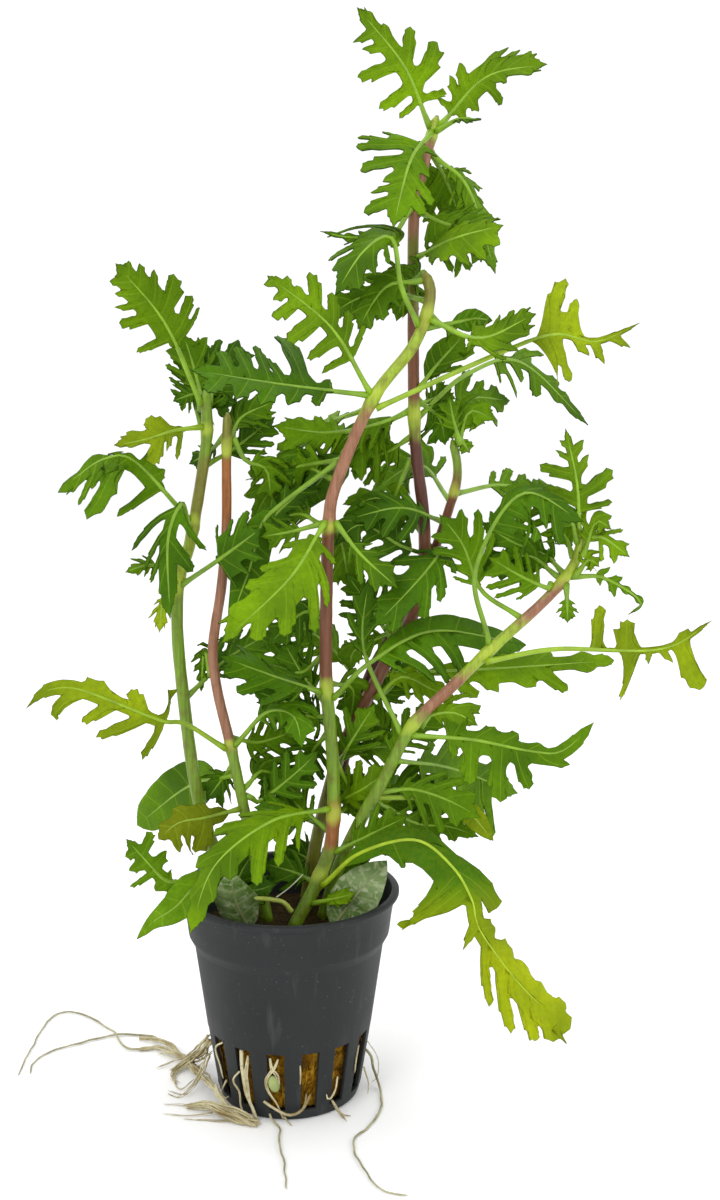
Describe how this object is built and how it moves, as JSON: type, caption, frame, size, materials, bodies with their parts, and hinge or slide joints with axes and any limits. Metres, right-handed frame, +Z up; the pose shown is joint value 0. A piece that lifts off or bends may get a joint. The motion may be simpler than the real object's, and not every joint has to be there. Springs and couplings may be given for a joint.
{
  "type": "potted aquatic plant",
  "caption": "Water wisteria with deeply cut leaves on upright stems, rooted in mineral wool in a tapered slotted net pot, with loose roots lying at its foot.",
  "frame": {"origin": "centre of the pot's foot, on the surface it stands on", "axes": "+Z up along the pot's axis, -Y towards the side the plant is seen from, +X to that side's right"},
  "size_m": [0.1593, 0.0894, 0.2446],
  "materials": {
    "pot_plastic": "matte moulded, dusty",
    "mineral_wool": "fibrous",
    "stem_green": "satin living stem",
    "stem_pink": "satin living stem",
    "stem_dark": "satin living stem",
    "root": "matte living root",
    "leaf_bright": "satin living leaf",
    "leaf_mid": "satin living leaf",
    "leaf_dark": "satin living leaf",
    "leaf_yellow": "satin living leaf",
    "leaf_old": "dull old leaf"
  },
  "bodies": {
    "root": {"net_pot": "pot_plastic", "rock_wool": "mineral_wool", "stem_left": "stem_green", "stem_middle": "stem_pink", "stem_front": "stem_pink", "stem_tall": "stem_pink", "stem_back": "stem_dark", "stem_right": "stem_green", "root_mat_left": "root", "root_left_near": "root", "root_left_far": "root", "root_mat_low": "root", "root_right": "root", "root_front": "root", "leaf_top_left": "leaf_bright", "leaf_top_right": "leaf_bright", "leaf_top_front": "leaf_mid", "leaf_top_droop": "leaf_mid", "leaf_high_right": "leaf_bright", "leaf_shoulder_left": "leaf_mid", "leaf_neck_left": "leaf_mid", "leaf_feather": "leaf_bright", "leaf_long_left": "leaf_dark", "leaf_crown_left": "leaf_bright", "leaf_right_upper": "leaf_bright", "leaf_long_right": "leaf_yellow", "leaf_right_low": "leaf_mid", "leaf_back_top": "leaf_mid", "leaf_back_right": "leaf_mid", "leaf_left_small": "leaf_yellow", "leaf_far_left": "leaf_mid", "leaf_left_hanging": "leaf_dark", "leaf_left_folded": "leaf_dark", "leaf_bright_front": "leaf_bright", "leaf_tall_left": "leaf_mid", "leaf_back_left": "leaf_bright", "leaf_back_centre": "leaf_mid", "leaf_back_cross": "leaf_dark", "leaf_big_dark": "leaf_dark", "leaf_right_rising": "leaf_dark", "leaf_front_left": "leaf_dark", "leaf_front_arch": "leaf_dark", "leaf_right_arch": "leaf_dark", "leaf_right_inside": "leaf_dark", "leaf_tip_feather": "leaf_bright", "leaf_low_ladder": "leaf_yellow", "leaf_right_under": "leaf_bright", "leaf_left_feather": "leaf_yellow", "leaf_middle_right": "leaf_dark", "leaf_right_spray": "leaf_mid", "leaf_right_shade": "leaf_mid", "leaf_low_right": "leaf_dark", "leaf_long_hanging": "leaf_yellow", "leaf_rim_front": "leaf_bright", "leaf_left_ovate": "leaf_dark", "leaf_left_olive": "leaf_dark", "leaf_left_curled": "leaf_mid", "leaf_rim_left": "leaf_mid", "leaf_old_left": "leaf_old", "leaf_old_right": "leaf_old"}
  },
  "joints": []
}
